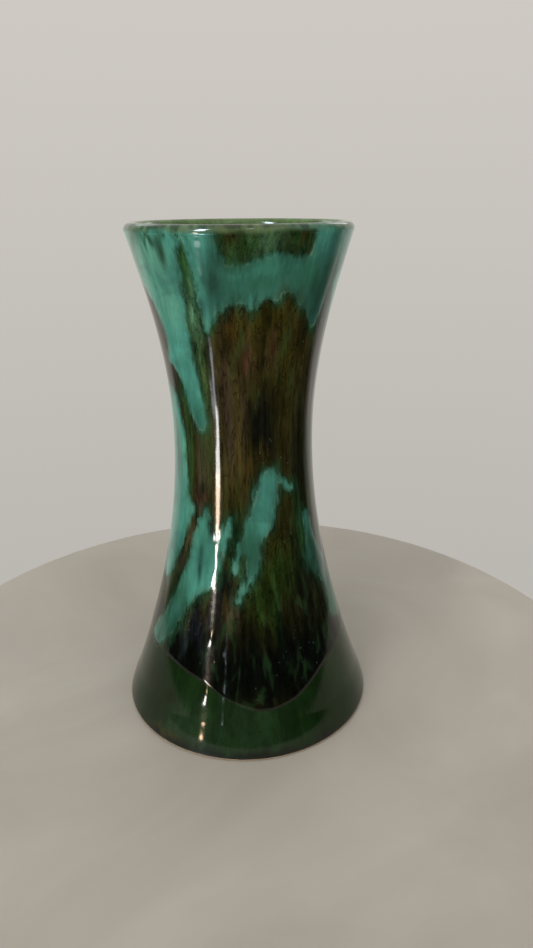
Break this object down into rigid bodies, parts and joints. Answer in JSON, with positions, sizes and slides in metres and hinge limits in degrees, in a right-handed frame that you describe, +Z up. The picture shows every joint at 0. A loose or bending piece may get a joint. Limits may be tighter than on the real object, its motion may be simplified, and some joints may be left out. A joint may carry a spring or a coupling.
{
  "type": "bud vase",
  "caption": "Hourglass ceramic bud vase with a rounded lip, a flared foot and flowing green, dark and turquoise glaze; holds a few stems.",
  "frame": {"origin": "centre of the foot, on the plane that the vase stands on", "axes": "+Z up the vase's axis of turning, -Y towards the front, which the picture shows, +X to the right of it"},
  "size_m": [0.1063, 0.1064, 0.2],
  "materials": {
    "fired_clay": "bare fired buff clay, dry and matt",
    "green_glaze": "deep translucent green gloss glaze over buff clay",
    "dark_glaze": "olive brown to black streaked gloss glaze",
    "turquoise_glaze": "opaque turquoise gloss glaze with feathered edges"
  },
  "bodies": {
    "root": {"clay_body": "fired_clay", "lining_glaze": "green_glaze", "base_glaze": "green_glaze", "poured_glaze": "dark_glaze", "left_curtain": "turquoise_glaze", "front_curtain": "turquoise_glaze", "right_curtain": "turquoise_glaze", "back_curtain": "turquoise_glaze", "left_run": "turquoise_glaze", "left_fork": "turquoise_glaze", "centre_splash": "turquoise_glaze", "right_run": "turquoise_glaze", "right_back_run": "turquoise_glaze", "back_splash": "turquoise_glaze", "back_fork": "turquoise_glaze"}
  },
  "joints": []
}
